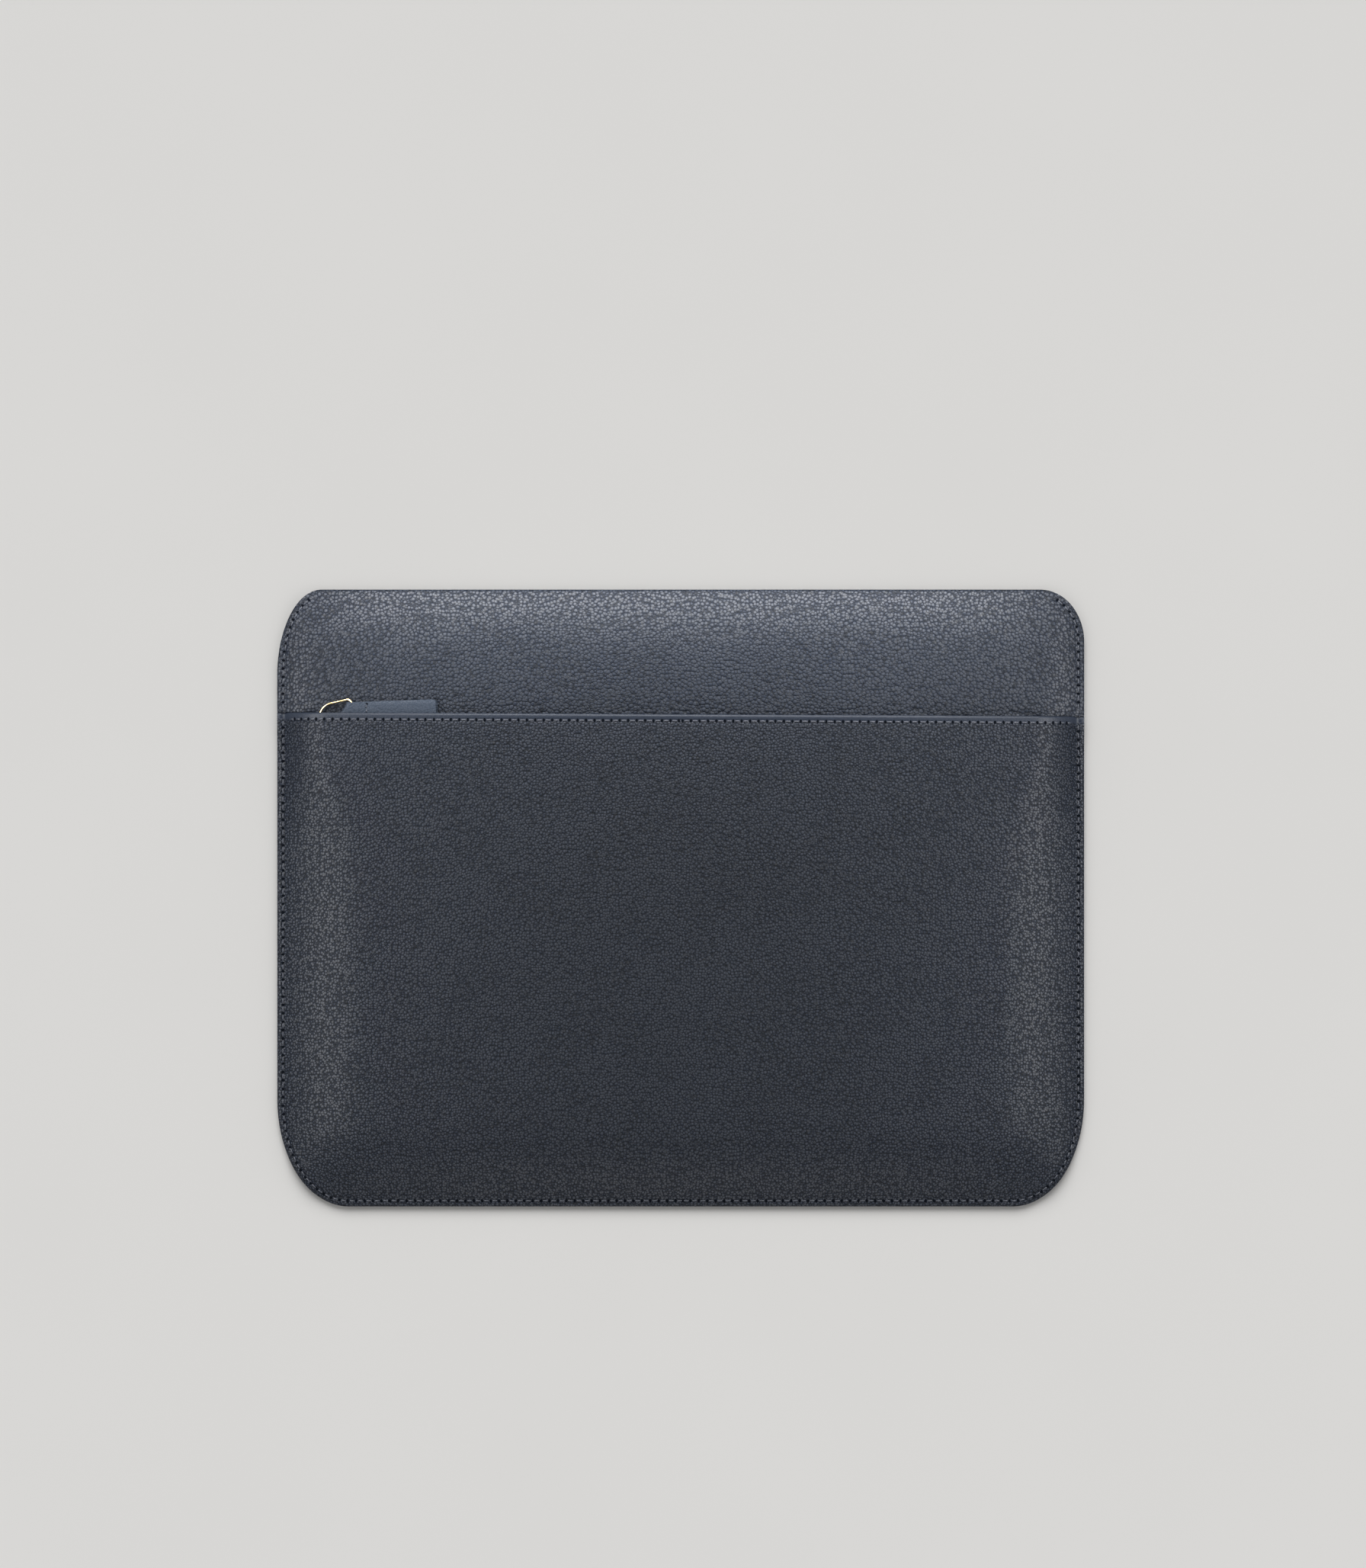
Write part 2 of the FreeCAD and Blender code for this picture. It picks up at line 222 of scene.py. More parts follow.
def strip_lamp(name, place, aim, power, size):
    """Low lamp near the sleeve, turned to a point of it and kept off the table."""
    lamp = bpy.data.lights.new(name, "AREA")
    lamp.shape = "RECTANGLE"
    lamp.size, lamp.size_y = size
    lamp.energy = power
    holder = bpy.data.objects.new(name, lamp)
    bpy.context.collection.objects.link(holder)
    holder.location = place
    holder.rotation_euler = (Vector(place) - Vector(aim)).to_track_quat("Z", "Y").to_euler()
    holder.light_linking.receiver_collection = flagged_off
    holder.visible_camera = False


soft_sun("top_lamp", azimuth=92, elevation=40, strength=2.57, spread=44)
for name, side in (("left_strip", -1), ("right_strip", 1)):
    strip_lamp(
        name, place=(side * 0.25, 0.03, 0.17), aim=(side * 0.07, 0.03, 0.0), power=1.6, size=(0.36, 0.1))
strip_lamp("top_strip", place=(0.0, 0.15, 0.05), aim=(0.0, 0.118, 0.005), power=0.72, size=(0.3, 0.03))
strip_lamp("bottom_strip", place=(0.0, -0.28, 0.13), aim=(0.0, 0.0, 0.0), power=0.5, size=(0.34, 0.12))
world = bpy.data.worlds.new("dome")
world.use_nodes = True
dome = Nodes(world.node_tree)
heading = dome.node("ShaderNodeSeparateXYZ", {}, {0: dome.node("ShaderNodeTexCoord", {}, {})["Generated"]})
beside = dome.ramp(heading["X"] * heading["X"], 0.0, 0.2)
dark_slot = dome.ramp(heading["Z"], 0.65, 0.98) * (1 - beside)
brightness = (dome_level + beside * dome_sides - dark_slot * dome_slot) * (1 + heading["Y"] * dome_tilt)
dome.feed(world.node_tree.nodes["Background"], {"Color": (1.0, 1.0, 1.0, 1.0), "Strength": brightness})
scene.world = world
scene.view_settings.view_transform = "Standard"

lens = bpy.data.cameras.new("copy_stand")
lens.sensor_fit = "VERTICAL"
lens.sensor_height = 36.0
lens.lens = lens.sensor_height * (camera_height - sleeve_level) / (photo_height * metres_per_pixel)
lens.clip_end = 20.0
camera = bpy.data.objects.new("copy_stand", lens)
bpy.context.collection.objects.link(camera)
camera.location = (
    (photo_width / 2 - sleeve_centre_pixel[0]) * metres_per_pixel,
    (sleeve_centre_pixel[1] - photo_height / 2) * metres_per_pixel,
    camera_height)
scene.camera = camera

# Back leather and hood
# One milled hide makes the back, turns over the top edge and comes down the front as the hood. Its sides
# are sewn to the front panel, and its lower edge is tucked under the lip, where the zip is sewn to it.
mm = 0.001
low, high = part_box("back_panel")
left_edge, bottom_edge, table = low
right_edge, top_edge, hood_top = high
half_width = (right_edge - left_edge) / 2
bottom_corner = (30 * mm, 45 * mm)
top_corner = {-1: (19 * mm, 36 * mm), 1: (19 * mm, 22 * mm)}
leather_thickness = 1.2 * mm
rim_top = 3.3 * mm
border = 3.5 * mm
edge_round = 2.3 * mm
seam_inset = 2.5 * mm
side_rise = 18.5 * mm
hood_side_rise = 10.5 * mm
hood_top_rise = 26.0 * mm
lip_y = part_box("front_panel")[1][1]
lip_slope = -1.7 / 340
tongue_half = half_width - border - hood_side_rise
tape_cover = 10 * mm
hood_edge_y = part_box("zip_tape_upper")[1][1] - tape_cover
fold_radius = rim_top / 2
fold_y = top_edge - fold_radius
lip_gap = 0.15 * mm
hood_seam_y = lip_y + lip_gap
seam_gap = 0.05 * mm
rim_roundness = 0.75
furrow_depth = 0.42 * mm
furrow_width = 0.85 * mm
swell_scale = 17
ripple_scale = 46
ripple_share = 0.4
ripple_seed = 5
hood_side_reach = hood_side_rise * 1.3
hood_wave = 0.65 * mm
hood_wave_drop = 0.12 * mm
hood_seed = 3.0
hood_seam_fade = 9 * mm
smooth_angle = math.radians(50)


def smooth(share):
    """Smooth step from 0 to 1."""
    share = min(max(share, 0.0), 1.0)
    return share * share * (3 - 2 * share)


def corner_inset(reach, size):
    """How far an elliptical corner draws the side in, at a reach into the corner's height."""
    share = min(max(reach / size[1], 0.0), 1.0)
    return size[0] * (1 - math.sqrt(1 - share * share))


def side_limit(y, side, inset=0.0):
    """Half width of the outline at a height in plan, on one side, drawn in by an inset."""
    low = (bottom_corner[0] - inset, bottom_corner[1] - inset)
    top = (top_corner[side][0] - inset, top_corner[side][1] - inset)
    below = corner_inset(bottom_edge + bottom_corner[1] - y, low)
    above = corner_inset(y - top_edge + top_corner[side][1], top)
    return half_width - inset - below - above


def edge_distance(x, y, with_top=False):
    """Distance in from the sewn edge, following the round corners."""
    side = -1 if x < 0 else 1
    reach = half_width - abs(x)
    nearest = min(reach, y - bottom_edge)
    corners = [(bottom_corner, bottom_edge + bottom_corner[1] - y)]
    if with_top:
        corners.append((top_corner[side], y - top_edge + top_corner[side][1]))
        nearest = reach
    for size, into in corners:
        over = abs(x) - half_width + size[0]
        if into > 0 and over > 0:
            share = math.hypot(over / size[0], into / size[1])
            nearest = (1 - share) / max(share, 1e-6) * math.hypot(over, into)
    return nearest


def exp_bell(offset, width):
    """Bell curve, 1 in its middle."""
    return math.exp(-((offset / width) ** 2))


def seam_shape(distance, edge_top):
    """Height that the sewn edge takes away: a rounded rim down to edge_top, then the seam's furrow."""
    outward = 1 - min(max(distance / edge_round, 0.0), 1.0)
    quarter_round = 1 - math.sqrt(1 - outward ** 2)
    round_over = (rim_top - edge_top) * (rim_roundness * quarter_round + (1 - rim_roundness) * outward)
    furrow = furrow_depth * exp_bell(distance - seam_inset, furrow_width)
    return round_over + furrow


def unevenness(x, y, height, seed):
    """Slow swells of hand-cut hide."""
    place = Vector((x * swell_scale, y * swell_scale, seed))
    finer = Vector((x * ripple_scale, y * ripple_scale, seed + ripple_seed))
    return height * (noise.noise(place) + ripple_share * noise.noise(finer))


def puffed(share):
    """Rise from a seam: steep beside the stitches, then easing to level."""
    return 1 - (1 - min(max(share, 0.0), 1.0)) ** 2


def hood_height(x, y):
    """Height of the hood's outer face: a low pillow with slow swells, sewn down at its sides."""
    across = puffed((half_width - abs(x) - border) / hood_side_reach)
    along = puffed((fold_y - y) / hood_top_rise)
    swell = (hood_top - rim_top) * across * along
    wave = (unevenness(x, y, hood_wave, hood_seed) - hood_wave_drop) * across * along
    sewn = smooth((fold_y - y) / hood_seam_fade)
    edge_top = leather_thickness * 2 + seam_gap
    return rim_top + swell + wave - sewn * seam_shape(edge_distance(x, y, with_top=True), edge_top)


def graded(count, first, last):
    """Numbers from 0 to 1 whose steps grow evenly from first to last, in shares."""
    steps = [first + (last - first) * n / (count - 1) for n in range(count)]
    total = sum(steps)
    marks = [0.0]
    for step in steps:
        marks.append(marks[-1] + step / total)
    return marks


def grid_piece(name, rows, thickness):
    """Sheet piece: a grid primitive, carried to the given rows of points, then given its thickness."""
    deselect()
    across = len(rows[0])
    bpy.ops.mesh.primitive_grid_add(x_subdivisions=across - 1, y_subdivisions=len(rows) - 1, size=1.0)
    piece = bpy.context.object
    piece.name = name
    for vertex in piece.data.vertices:
        column = round((vertex.co.x + 0.5) * (across - 1))
        row = round((vertex.co.y + 0.5) * (len(rows) - 1))
        vertex.co = rows[row][column]
    wall = piece.modifiers.new("wall", "SOLIDIFY")
    wall.thickness = thickness
    wall.offset = -1.0
    wall.use_rim = True
    bpy.ops.object.modifier_apply(modifier="wall")
    bpy.ops.object.shade_smooth_by_angle(angle=smooth_angle)
    return piece


def two_sided(marks):
    """Places from -1 to 1, closest together at both edges."""
    left = [mark - 1 for mark in marks]
    return left + [-place for place in reversed(left[:-1])]


pebble_fall = 1.5
crease_width = 0.16
# How strongly the creases are darkened with painted shade.
painted_crease_shade = 0.85
crease_gloss = 0.16
pebble_gloss = 0.79
smooth_pebble = 0.72


def milled_leather(name, grain, depth, tone, shade, crease_shade_amount=1.0, sheen=0.48, band=0.0):
    """Milled hide: rounded pebbles with creases between, darkened with painted shade. A band below the lip
    can be left smooth.
    """
    finish = Finish(name)
    place = finish.place
    for scale, reach in ((26.0, 4 * mm), (300.0, grain * 0.45)):
        drift = finish.noise(scale, 2.0)["Color"]
        place = finish.node("ShaderNodeVectorMath", {"operation": "MULTIPLY_ADD"}, {
            0: drift, 1: (reach, reach, reach), 2: place})["Vector"]
    size = {"Vector": place, "Scale": 1 / grain, "Randomness": 0.85}
    middle = finish.node("ShaderNodeTexVoronoi", {"feature": "F1"}, size)["Distance"]
    edge = finish.node("ShaderNodeTexVoronoi", {"feature": "DISTANCE_TO_EDGE"}, size)["Distance"]
    pebble = 1 - middle * middle * pebble_fall
    crease = finish.ramp(edge, 0.0, crease_width)
    pores = finish.noise(2600.0, 2.0)["Fac"]
    folds = finish.noise(420.0, 2.0)["Fac"]
    relief = pebble * 0.8 + crease * 0.15 + pores * 0.05 + folds * 0.12
    if band:
        axes = finish.node("ShaderNodeSeparateXYZ", {}, {0: finish.place})
        below_lip = lip_y - axes["Y"] + axes["X"] * lip_slope
        grained = finish.ramp(below_lip, band * 0.8, band * 1.3)
        relief = relief * (0.1 + grained * 0.9)
        crease = crease * grained + (1 - grained)
        pebble = pebble * grained + (1 - grained) * smooth_pebble
    cloud = finish.noise(11.0, 3.0)["Fac"]
    hide = finish.tint(cloud, tone, shade)
    # Painted shade: the hide's colour is darkened towards a near-black navy in the creases between pebbles.
    crease_shaded_hide = finish.tint((1 - crease) * (painted_crease_shade * crease_shade_amount), hide, crease_shade_navy)
    rough = 0.5 - pebble * 0.1 + cloud * 0.05
    polished = (crease_gloss + finish.ramp(pebble, 0.5, 1.0) * pebble_gloss) * (0.7 + folds * 0.35)
    return finish.surface({
        "Base Color": crease_shaded_hide, "Roughness": rough, "Normal": finish.bump(relief, depth),
        "Specular IOR Level": 0.09, "Coat Weight": polished * sheen, "Coat Roughness": 0.5})


navy = colour(15, 20, 29)
navy_shade = colour(19, 24, 33)
# Near-black navy used as painted shade in the creases.
crease_shade_navy = colour(6, 8, 12)
back_leather = milled_leather(
    "back_milled_hide", grain=1.35 * mm, depth=0.5 * mm, tone=navy, shade=navy_shade)

fine_edge = graded(count=84, first=0.25, last=2.4)
across_back = two_sided(fine_edge)[::-1]
corner_steps = 12
side_steps = 14
upper_steps = 19
fold_steps = 12
hood_steps = 64
tuck_steps = 3
hood_bunching = 1.35
straight_top = top_edge - 45 * mm


def wrap_row(y, z_of, limit_of):
    """One row of the hide from its right edge to its left edge."""
    row = []
    for place in across_back:
        side = -1 if place < 0 else 1
        x = place * limit_of(y, side)
        row.append((x, y, z_of(x, y)))
    return row


def on_table(x, y):
    return table


def tongue_limit(y, side):
    """Half width of the hide, narrower where it is tucked under the lip."""
    return tongue_half if y < hood_seam_y else side_limit(y, side)


back_rows = []
for step in range(corner_steps + 1):
    y = bottom_edge + bottom_corner[1] * (1 - math.cos(math.radians(90 * step / corner_steps)))
    back_rows.append(wrap_row(y, on_table, side_limit))
for step in range(1, side_steps + 1):
    y = bottom_edge + bottom_corner[1] + (straight_top - bottom_edge - bottom_corner[1]) * step / side_steps
    back_rows.append(wrap_row(y, on_table, side_limit))
for step in range(1, upper_steps + 1):
    y = straight_top + (fold_y - straight_top) * math.sin(math.radians(90 * step / upper_steps))
    back_rows.append(wrap_row(y, on_table, side_limit))
for step in range(1, fold_steps):
    turn = math.radians(-90 + 180 * step / fold_steps)
    y = fold_y + fold_radius * math.cos(turn)
    z = fold_radius + fold_radius * math.sin(turn)
    back_rows.append(wrap_row(y, lambda x, y, z=z: z, side_limit))
for step in range(hood_steps + 1):
    share = step / hood_steps
    y = fold_y - (fold_y - hood_seam_y) * share ** hood_bunching
    row = wrap_row(y, hood_height, side_limit)
    back_rows.append([(x, y + lip_slope * x * share ** 4, z) for x, y, z in row])
for step in range(1, tuck_steps + 1):
    y = hood_seam_y - (hood_seam_y - hood_edge_y) * step / tuck_steps
    row = wrap_row(y, hood_height, tongue_limit)
    back_rows.append([(x, y + lip_slope * x * (1 - step / tuck_steps), z) for x, y, z in row])
hide_back = grid_piece("back_hide", back_rows, leather_thickness)
hide_back.data.materials.append(back_leather)
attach(hide_back, "root")
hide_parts("back_panel")

# Front leather
# The lower front hide is sewn to the back round the sides and the bottom. Its top edge is turned under and
# sewn down as the lip. It is made in two halves, split at the middle of the mouth.
front_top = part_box("front_panel")[1][2]
bottom_rise = 30.0 * mm
front_thickness = 0.9 * mm
lip_roll = 1.0 * mm
lip_band = 2.8 * mm
turn_under = 10.0 * mm
front_side_extra = 15.7 * mm
front_extra_start = 12 * mm
front_extra_fade = 50 * mm
front_bottom_reach = bottom_rise * 1.15
front_wave_height = 0.3 * mm
front_seed = 11.0
doubled_fade = 14 * mm
lip_furrow_depth = 0.36 * mm
lip_furrow_width = 0.8 * mm
lip_band_drop = 0.18 * mm
lip_rows_reach = 9 * mm
front_corner_steps = 25
front_panel_steps = 69
front_lip_steps = 18
lip_roll_steps = 10
turned_steps = 5


def lip_at(x):
    """Height in plan of the lip, which sags a little to the right."""
    return lip_y + lip_slope * x


def front_rise(x, y):
    """Share of the front's full swell, from 0 at the sewn border to 1 on the flat of the panel."""
    longer = front_side_extra * smooth((lip_y - front_extra_start - y) / front_extra_fade)
    across = puffed((half_width - abs(x) - border) / (side_rise + longer))
    return across * puffed((y - bottom_edge - border) / front_bottom_reach)


def front_wave(x, y):
    return unevenness(x, y, front_wave_height, front_seed) * front_rise(x, y)


def front_height(x, y):
    """Height of the front's outer face, thicker near the lip, where the hide is turned under."""
    rise = front_rise(x, y)
    below_lip = lip_at(x) - y
    doubled = smooth(1 - (below_lip - lip_roll) / doubled_fade)
    single_edge = leather_thickness + front_thickness + seam_gap
    edge_top = single_edge + (2 * lip_roll - front_thickness) * doubled
    furrow = lip_furrow_depth * exp_bell(below_lip - lip_band, lip_furrow_width)
    band = lip_band_drop * smooth(1 - below_lip / lip_band)
    swell = (front_top - rim_top) * rise
    return rim_top + swell + front_wave(x, y) - furrow - band - seam_shape(edge_distance(x, y), edge_top)


def bow(piece):
    """Bake the piece's placement into its mesh."""
    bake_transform(piece)


def half_places(side, count, first, last):
    """Shares of the half width from left to right on one side, closest together at the sewn edge."""
    places = [side * (1 - mark) for mark in graded(count, first, last)]
    return places if side < 0 else places[::-1]


def half_name(name, side):
    return name + ("_left" if side < 0 else "_right")


def above_back(points):
    """Points kept above the back leather, where the ends of the lip are sewn down to it."""
    return [(x, y, max(z, leather_thickness)) for x, y, z in points]


def front_half(side):
    """One half of the front leather: up from the bottom, over the rolled lip and back under it."""
    rows = []
    across = half_places(side, count=96, first=0.22, last=2.2)

    def row(height_share):
        points = []
        for place in across:
            top = lip_at(place * half_width) - lip_roll
            y = bottom_edge + (top - bottom_edge) * height_share
            x = place * side_limit(y, side)
            points.append((x, y, front_height(x, y)))
        return points

    height = lip_y - bottom_edge
    corner_share = bottom_corner[1] / height
    near_lip = 1 - lip_rows_reach / height
    for step in range(front_corner_steps + 1):
        rows.append(row(corner_share * (1 - math.cos(math.radians(90 * step / front_corner_steps)))))
    for step in range(1, front_panel_steps + 1):
        rows.append(row(corner_share + (near_lip - corner_share) * step / front_panel_steps))
    for step in range(1, front_lip_steps + 1):
        rows.append(row(near_lip + (1 - near_lip) * step / front_lip_steps))
    shoulder = rows[-1]
    for step in range(1, lip_roll_steps + 1):
        turn = math.radians(90 - 180 * step / lip_roll_steps)
        drop = lip_roll * (math.sin(turn) - 1)
        rolled = [(x, y + lip_roll * math.cos(turn), z + drop) for x, y, z in shoulder]
        rows.append(above_back(rolled))
    for step in range(1, turned_steps + 1):
        back = turn_under * step / turned_steps
        tucked = [(x, y - back * front_rise(x, y) ** 0.5, z - 2 * lip_roll) for x, y, z in shoulder]
        rows.append(above_back(tucked))
    piece = grid_piece(half_name("front_hide", side), rows, front_thickness)
    piece.data.materials.append(front_leather)
    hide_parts("front_panel")
    bow(piece)


front_leather = milled_leather(
    "front_milled_hide", grain=1.15 * mm, depth=0.95 * mm, tone=navy, shade=navy_shade, band=lip_band)
for half in (-1, 1):
    front_half(half)

# Lip facing
# A skived strip of the same hide, glued behind the lip. It runs back under the turned edge, goes down as the
# rear wall of the pull's pocket, and ends in a foot that carries the lower zip tape.
facing_overrun = 11 * mm
facing_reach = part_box("lip_facing")[1][0] + facing_overrun
facing_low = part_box("lip_facing")[0]
facing_leather = 0.7 * mm
facing_foot = 4.0 * mm
pocket_y = facing_low[1] + facing_foot
facing_bottom = front_top - 2 * lip_roll
foot_level = facing_low[2]
facing_bend = 0.8 * mm
bend_lead = 1 * mm
turned_gap = 0.3 * mm
behind_lip = lip_y - 8 * mm
bend_steps = 6
wall_steps = 5
facing_steps = 52


def facing_profile():
    """Outer side of the strip in Y and Z, from the turned edge of the lip to the end of the foot."""
    start = lip_y - lip_roll - turn_under - turned_gap
    points = [(start, facing_bottom), (pocket_y + facing_bend + bend_lead, facing_bottom)]
    for step in range(bend_steps + 1):
        turn = math.radians(90 * step / bend_steps)
        y = pocket_y + facing_bend * (1 - math.sin(turn))
        points.append((y, facing_bottom - facing_bend * (1 - math.cos(turn))))
    wall_height = facing_bottom - foot_level - 2 * facing_bend
    for step in range(1, wall_steps):
        points.append((pocket_y, facing_bottom - facing_bend - wall_height * step / wall_steps))
    for step in range(bend_steps + 1):
        turn = math.radians(90 * step / bend_steps)
        y = pocket_y - facing_bend * (1 - math.cos(turn))
        points.append((y, foot_level + facing_bend * (1 - math.sin(turn))))
    points.append((facing_low[1], foot_level))
    return points


def facing_piece(side):
    places = [side * facing_reach * (1 - step / facing_steps) for step in range(facing_steps + 1)]
    places = places if side < 0 else places[::-1]
    rows = []
    for y, z in facing_profile():
        upper = (z - foot_level) / (facing_bottom - foot_level)
        row = []
        for x in places:
            sunk = (1 - front_rise(x, behind_lip) ** 2) * (z - foot_level)
            swell = front_wave(x, behind_lip) * upper
            row.append((x, y + lip_slope * x * upper, z + swell - sunk))
        rows.append(row)
    piece = grid_piece(half_name("lip_facing_strip", side), rows, facing_leather)
    piece.data.materials.append(facing_hide)
    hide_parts("lip_facing")
    bow(piece)


# The facing gets less painted crease shade than the outer hide.
facing_hide = milled_leather(
    "facing_skived_hide", grain=0.9 * mm, depth=0.10 * mm, tone=navy_shade, shade=navy,
    crease_shade_amount=0.4, sheen=0.3)
for half in (-1, 1):
    facing_piece(half)

# Linings
# Thin brushed lining cloth, caught in the seam all round: one sheet on the back, a short one under the hood,
# and one behind the front padding, in two halves.
lining = 0.3 * mm
lining_inset = 6.0 * mm
floor_rim = 1.3 * mm
floor_swell = 1.1 * mm
front_lining_rim = 1.7 * mm
front_lining_swell = 8.1 * mm
hood_lining_start = 13.5 * mm
hood_lining_margin = 3 * mm
hood_lining_gap = 0.15 * mm
facing_gap = 0.5 * mm
floor_steps = 60
hood_lining_steps = 24
front_lining_steps = 50


def lining_cloth():
    finish = Finish("brushed_lining")
    nap = finish.noise(900.0, 3.0)["Fac"]
    streak = finish.noise(60.0, 2.0)["Fac"]
    tone = finish.tint(streak, colour(58, 62, 72), colour(72, 76, 86))
    rough = 0.82 + nap * 0.12
    return finish.surface({
        "Base Color": tone, "Roughness": rough, "Normal": finish.bump(nap, 0.08 * mm),
        "Specular IOR Level": 0.1})


def floor_height(x, y):
    across = smooth((half_width - abs(x) - border) / side_rise)
    up = smooth((y - bottom_edge - border) / bottom_rise)
    down = smooth((fold_y - y) / hood_top_rise)
    return floor_rim + floor_swell * across * up * down


def sheet_rows(y_from, y_to, places, inset, level, count):
    """Rows of a layer inside the outline, with more of them in the round corners."""
    rows = []
    for step in range(count + 1):
        share = (1 - math.cos(math.pi * step / count)) / 2
        y = y_from + (y_to - y_from) * share
        row = []
        for place in places:
            x = place * side_limit(y, -1 if place < 0 else 1, inset)
            row.append((x, y, level(x, y)))
        rows.append(row)
    return rows


def sheet_area(rows):
    """Flat size of a layer: its widest row, its length in plan and its area."""
    area = 0.0
    for below, above in zip(rows[:-1], rows[1:]):
        width = (below[-1][0] - below[0][0] + above[-1][0] - above[0][0]) / 2
        area += width * (above[0][1] - below[0][1])
    widest = max(row[-1][0] - row[0][0] for row in rows)
    return (widest, rows[-1][0][1] - rows[0][0][1]), area


def lining_sheet(name, node, rows):
    piece = grid_piece(name, rows, lining)
    piece.data.materials.append(lining_finish)
    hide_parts(node)
    flat, area = sheet_area(rows)
    return piece


lining_finish = lining_cloth()
lining_low = bottom_edge + lining_inset
lining_high = fold_y - lining_inset
both_sides = two_sided(graded(count=40, first=0.6, last=2.2))
floor_rows = sheet_rows(
    lining_low, lining_high, both_sides, lining_inset, lambda x, y: floor_height(x, y) + lining, floor_steps)
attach(lining_sheet("back_lining_cloth", "back_lining", floor_rows), "root")
hood_lining_low = hood_edge_y + hood_lining_start
hood_rows = sheet_rows(
    hood_lining_low, lining_high, both_sides, lining_inset + hood_lining_margin,
    lambda x, y: hood_height(x, y) - leather_thickness - hood_lining_gap, hood_lining_steps)
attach(lining_sheet("hood_lining_cloth", "hood_lining", hood_rows), "root")


def front_lining_top(x, y):
    return front_lining_rim + lining + front_lining_swell * front_rise(x, y) + front_wave(x, y)


front_lining_high = pocket_y - facing_foot - facing_gap
for half in (-1, 1):
    places = half_places(half, count=40, first=0.6, last=2.2)
    cloth_rows = sheet_rows(
        lining_low, front_lining_high, places, lining_inset, front_lining_top, front_lining_steps)
    cloth_name = half_name("front_lining_cloth", half)
    bow(lining_sheet(cloth_name, "front_lining", cloth_rows))

# Foam padding
# Thin closed-cell foam, glued between each leather and its lining and skived thin towards the edges.
foam_inset = 22.5 * mm
foam = 0.9 * mm
back_foam_gap = 0.05 * mm
front_foam_gap = 0.08 * mm
foam_steps = 40


def foam_finish():
    finish = Finish("closed_cell_foam")
    cells = finish.node("ShaderNodeTexVoronoi", {}, {"Vector": finish.place, "Scale": 1800.0})["Distance"]
    tone = finish.tint(cells, colour(58, 58, 60), colour(82, 82, 84))
    rough = 0.85 + cells * 0.1
    return finish.surface({"Base Color": tone, "Roughness": rough, "Normal": finish.bump(cells, 0.05 * mm)})


def foam_pad(name, node, rows):
    piece = grid_piece(name, rows, foam)
    piece.data.materials.append(foam_grain)
    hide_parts(node)
    return piece


foam_grain = foam_finish()
foam_low = bottom_edge + border + bottom_rise
back_foam_rows = sheet_rows(
    foam_low, fold_y - hood_top_rise, both_sides, foam_inset,
    lambda x, y: floor_height(x, y) - back_foam_gap, foam_steps)
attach(foam_pad("back_foam", "back_padding", back_foam_rows), "root")
for half in (-1, 1):
    front_foam_rows = sheet_rows(
        foam_low, front_lining_high, half_places(half, count=36, first=0.6, last=2.2), foam_inset,
        lambda x, y: front_lining_top(x, y) + foam + front_foam_gap, foam_steps)
    bow(foam_pad(half_name("front_foam", half), "front_padding", front_foam_rows))

# Zip tapes
# Narrow twill tapes. The upper one is sewn under the hood's edge. The lower one is sewn to the facing's foot,
# and its first stretch, beside the parked pull, is tacked down at the sewn corner of the mouth.
tape_thickness = 0.4 * mm
tape_wall = tape_thickness * 0.6
bead_height = 0.14 * mm
bead_inset = 0.5 * mm
bead_width = 0.4 * mm
tape_ripple = 0.05 * mm
tape_ripple_rate = 900
tape_steps = 14


def twill_tape():
    finish = Finish("navy_twill_tape")
    ribs = finish.node("ShaderNodeTexWave", {"bands_direction": "DIAGONAL"}, {
        "Vector": finish.place, "Scale": 520.0, "Distortion": 0.6})["Fac"]
    fibre = finish.noise(2400.0, 2.0)["Fac"]
    weave = ribs * 0.7 + fibre * 0.3
    tone = finish.tint(weave, colour(18, 22, 32), colour(40, 46, 60))
    rough = 0.9 - weave * 0.15
    return finish.surface({
        "Base Color": tone, "Roughness": rough, "Normal": finish.bump(weave, 0.08 * mm),
        "Specular IOR Level": 0.3})


def tape_strip(name, node, x_from, x_to, columns):
    """Tape with a corded bead along the edge that the teeth hold, and a slightly wavy sewn edge."""
    low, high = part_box(node)
    to_teeth = 1 if node != "zip_tape_upper" else -1
    middle = (low[2] + high[2]) / 2
    near, far = (high[1], low[1]) if to_teeth > 0 else (low[1], high[1])
    rows = []
    flat_top = middle + tape_thickness / 2 - bead_height
    for step in range(tape_steps + 1):
        share = step / tape_steps
        y = near + (far - near) * share
        bead = bead_height * exp_bell(share * abs(far - near) - bead_inset, bead_width)
        ripple = tape_ripple * share
        row = []
        for column in range(columns + 1):
            x = x_from + (x_to - x_from) * column / columns
            row.append((x, y, flat_top + bead + ripple * math.sin(x * tape_ripple_rate)))
        rows.append(row)
    if to_teeth > 0:
        rows = rows[::-1]
    piece = grid_piece(name, rows, tape_wall)
    piece.data.materials.append(tape_cloth)
    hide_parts(node)
    return piece


def span(node):
    low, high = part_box(node)
    return low[0], high[0]


tape_cloth = twill_tape()
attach(tape_strip("upper_tape", "zip_tape_upper", *span("zip_tape_upper"), 150), "root")
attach(tape_strip("lower_tape_start", "zip_tape_lower_start", *span("zip_tape_lower_start"), 40), "root")
lift_from, lift_to = span("zip_tape_lower")
bow(tape_strip("lower_tape_left", "zip_tape_lower", lift_from, 0.0, 60))
bow(tape_strip("lower_tape_right", "zip_tape_lower", 0.0, lift_to, 80))
